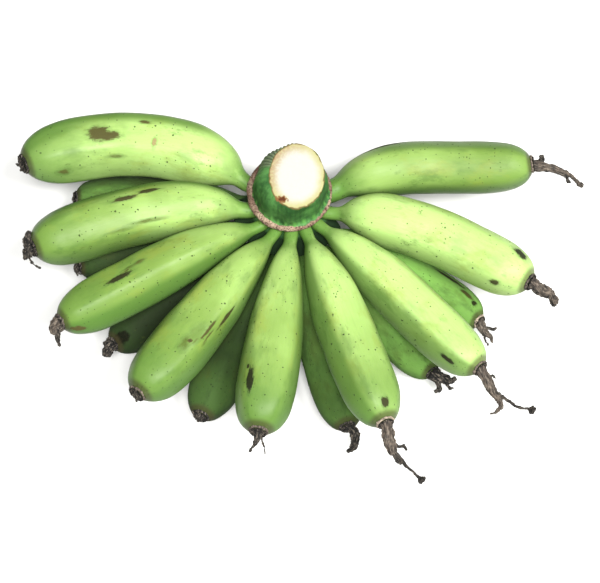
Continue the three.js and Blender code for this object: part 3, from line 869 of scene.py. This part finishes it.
def dried_flower(name, finger_end, recipe, seed):
    """A whole dried flower: ring, pit and strands charred one by one, joined and crumpled."""
    end, outward, radius = finger_end
    rng = random.Random(seed)
    ring, pit = scar_ring(end, outward, radius)
    made = [(ring, recipe["ring"]), (pit, PIT_CHARRED)]
    for i, strand in enumerate(recipe["strands"]):
        folds, depth = (4, 0.25) if strand[0] <= THIN_STRAND else (7, 0.5)
        outline = folded_outline(folds, depth)
        start = end - outward * 0.6 * MM
        if i:
            aside = outward.orthogonal().normalized()
            start += aside * rng.uniform(-1.2, 1.2) * MM
        piece = strand_mesh(start, strand, outline, rng)
        bpy.data.objects.remove(outline)
        made.append((piece, LATER_CHARRED if i else recipe.get("dry", FIRST_CHARRED)))
    for piece, charred in made:
        pick(piece)
        bpy.ops.object.transform_apply(location=True, rotation=True, scale=True)
        if "grain" not in piece.data.attributes:
            give(piece.data, "grain", places(piece.data) / MM)
        give(piece.data, "charred", np.full(len(piece.data.vertices), charred))
    pick(*[piece for piece, _ in reversed(made)])
    bpy.context.view_layer.objects.active = ring
    bpy.ops.object.join()
    flower = bpy.context.object
    flower.name = flower.data.name = name
    bpy.ops.object.mode_set(mode="EDIT")
    bpy.ops.mesh.select_all(action="SELECT")
    bpy.ops.mesh.remove_doubles(threshold=WELD)
    bpy.ops.mesh.normals_make_consistent(inside=False)
    bpy.ops.object.mode_set(mode="OBJECT")
    apply_modifier(flower, "SUBSURF", levels=1, render_levels=1)
    apply_modifier(flower, "DISPLACE", texture=withered, strength=1.7 * MM, mid_level=0.5)
    apply_modifier(flower, "DISPLACE", texture=crackled, strength=0.9 * MM, mid_level=0.5)
    return flower


def dry_tissue():
    """Dead flower tissue: fibrous and matt, tan at the ring, grey-brown to black further out."""
    material, shader, node, fill = material_maker("dry_flower_tissue")
    where = node("TexCoord", {}, output=3)
    charred = node("Attribute", {}, output=2, attribute_name="charred")
    lumps = noise(node, where, 330, 4, 0.65)
    grain = node("Attribute", {}, output=1, attribute_name="grain")
    fibres = noise(node, node("Mapping", {"Vector": grain, "Scale": (1, 0.12, 1)}), 1.6, 3, 0.6)
    tone = node("Math", {0: charred, 1: between(node, lumps, 0.3, 0.7, -0.16, 0.16)},
                operation="ADD")
    ramp = node("ValToRGB", {0: tone})
    stops = material.node_tree.nodes[-1].color_ramp
    for place, shade in ((0.12, colour(136, 124, 110)), (0.35, colour(82, 73, 65)),
                         (0.6, colour(45, 43, 40)), (0.85, colour(22, 22, 21))):
        stops.elements.new(place).color = shade
    stops.elements[0].color = colour(172, 156, 138)
    stops.elements[-1].color = colour(10, 10, 9)
    # the fibres' raised crests are paled and their grooves made nearly black: partly the tissue's
    # own streaks, partly painted highlight and painted shade
    skin = blend(node, between(node, fibres, 0.52, 0.66, 0, 0.7), ramp, colour(124, 114, 102))
    skin = blend(node, between(node, fibres, 0.5, 0.38, 0, 0.75), skin, colour(14, 12, 11))
    fill(shader.inputs["Base Color"], skin)
    shader.inputs["Roughness"].default_value = 0.88
    shader.inputs["Specular IOR Level"].default_value = 0.25
    bump = node("Bump", {"Strength": 0.6, "Distance": 0.4 * MM, "Height": fibres})
    fill(shader.inputs["Normal"], bump)
    return material


withered = cloud("withered", 2.4 * MM, 2)
crackled = cloud("crackled", 0.9 * MM, 2)
tissue = dry_tissue()
for row, finger_row, flower_row, recipes, seed_start in (
        ("upper", "finger", "flower", UPPER_FLOWERS, 0),
        ("lower", "under", "under_flower", LOWER_FLOWERS, 20)):
    for number, recipe in enumerate(recipes, start=1):
        finger_end = finger_ends[f"{finger_row}_{number}"]
        flower = dried_flower(f"{row}_dried_flower_{number}", finger_end, recipe,
                              seed_start + number)
        finish(flower, tissue, "dried_flower", f"{flower_row}_{number}")

# ------------------------------------------------------------------ table, light and camera
# A plain pale table top, nearly white, in soft daylight: a broad light over the viewer and a
# weaker one from a window on the right. The camera looks down at the hand from in front.

bpy.ops.object.select_all(action="DESELECT")
bpy.ops.mesh.primitive_plane_add(size=6, location=(0, 0, 0))
table = bpy.context.object
table.name = "table_top"
material, shader, node, fill = material_maker("pale_table")
faint = noise(node, node("TexCoord", {}, output=3), 3, 2)
off_white = blend(node, faint, (0.61, 0.61, 0.61, 1), (0.63, 0.63, 0.63, 1))
fill(shader.inputs["Base Color"], off_white)
shader.inputs["Roughness"].default_value = 0.7
table.data.materials.append(material)


def soft_light(name, place, size, power, tint):
    """A round area light that faces the middle of the table."""
    lamp = bpy.data.lights.new(name, "AREA")
    lamp.shape = "DISK"
    lamp.size = size
    lamp.energy = power
    lamp.color = tint
    holder = bpy.data.objects.new(name, lamp)
    holder.location = place
    holder.rotation_euler = (-Vector(place)).to_track_quat("-Z", "Y").to_euler()
    bpy.context.collection.objects.link(holder)


soft_light("over_the_viewer", (0.1, -1.1, 2.8), 1.2, 153, (1, 0.99, 0.97))
soft_light("window_on_the_right", (1.4, -0.7, 2.5), 1.0, 112, (1, 0.99, 0.96))
world = bpy.data.worlds.new("pale_room")
world.use_nodes = True
room = world.node_tree.nodes["Background"].inputs
room["Color"].default_value = (0.93, 0.97, 1, 1)
room["Strength"].default_value = 0.1
bpy.context.scene.world = world
bpy.context.scene.view_settings.view_transform = "Standard"

CAMERA_ELEVATION = math.radians(70)
CAMERA_DISTANCE = 0.7
CAMERA_LENS = 61.8
camera_data = bpy.data.cameras.new("camera")
camera_data.lens = CAMERA_LENS
camera_data.clip_end = 20
camera = bpy.data.objects.new("camera", camera_data)
# the middle of the view, in front of the stalk and half way up it
aim = Vector((stalk_foot.x + 6.8 * MM, stalk_foot.y - 70.9 * MM, 45 * MM))
back = Vector((0, -math.cos(CAMERA_ELEVATION), math.sin(CAMERA_ELEVATION)))
camera.location = aim + back * CAMERA_DISTANCE
camera.rotation_euler = back.to_track_quat("Z", "Y").to_euler()
bpy.context.collection.objects.link(camera)
bpy.context.scene.camera = camera

bpy.context.view_layer.update()
